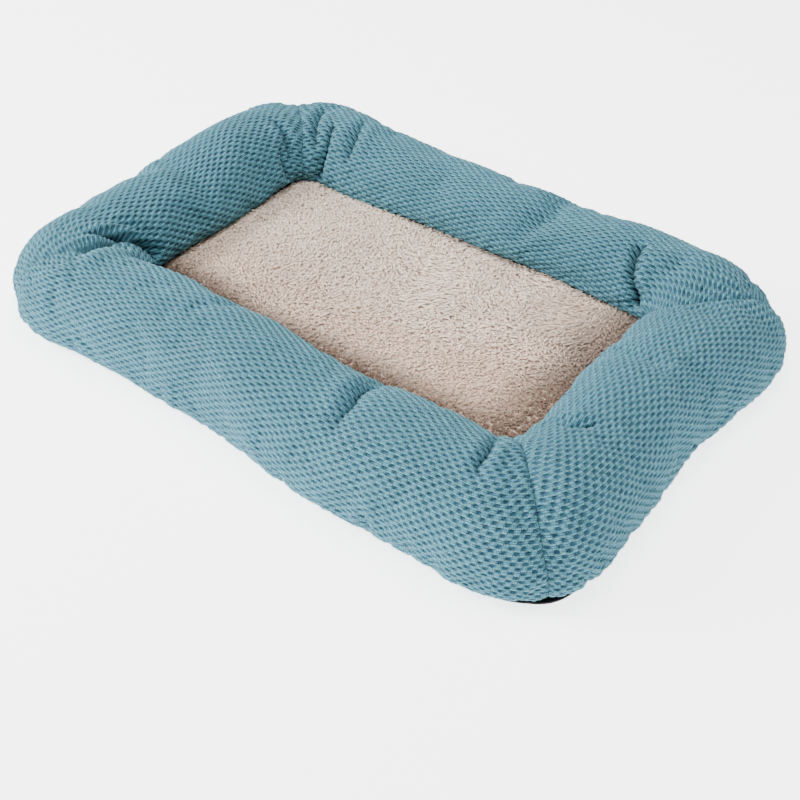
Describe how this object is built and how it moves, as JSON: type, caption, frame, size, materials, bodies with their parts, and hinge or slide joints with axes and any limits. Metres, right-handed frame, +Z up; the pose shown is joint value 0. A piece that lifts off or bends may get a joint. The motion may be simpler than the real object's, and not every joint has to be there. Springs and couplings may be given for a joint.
{
  "type": "pet cushion bed",
  "caption": "Rectangular pet bed: a ring of stuffed fabric bolsters sewn on the diagonal at each corner, round a flat fleece sleeping panel, on a non-slip base.",
  "frame": {"origin": "middle of the underside, on the floor", "axes": "+X along the bed's length, +Y to the back bolster, +Z up"},
  "size_m": [0.584, 0.43, 0.078],
  "materials": {
    "chenille_cover": "matte basket-weave chenille with a soft sheen",
    "seam_thread": "matte sewn seam",
    "fleece": "matte short-pile fleece",
    "polyester_fill": "matte loose fibre",
    "base_fabric": "matte non-slip fabric with small raised dots"
  },
  "bodies": {
    "root": {"bolster_cover_front": "chenille_cover", "bolster_cover_back": "chenille_cover", "bolster_cover_left": "chenille_cover", "bolster_cover_right": "chenille_cover", "bolster_fill_front": "polyester_fill", "bolster_fill_back": "polyester_fill", "bolster_fill_left": "polyester_fill", "bolster_fill_right": "polyester_fill", "corner_seam_front_left": "seam_thread", "corner_seam_front_right": "seam_thread", "corner_seam_back_left": "seam_thread", "corner_seam_back_right": "seam_thread", "sleeping_panel": "fleece", "pad_fill": "polyester_fill", "base_panel": "base_fabric", "inner_seam": "seam_thread", "outer_seam": "seam_thread"}
  },
  "joints": []
}
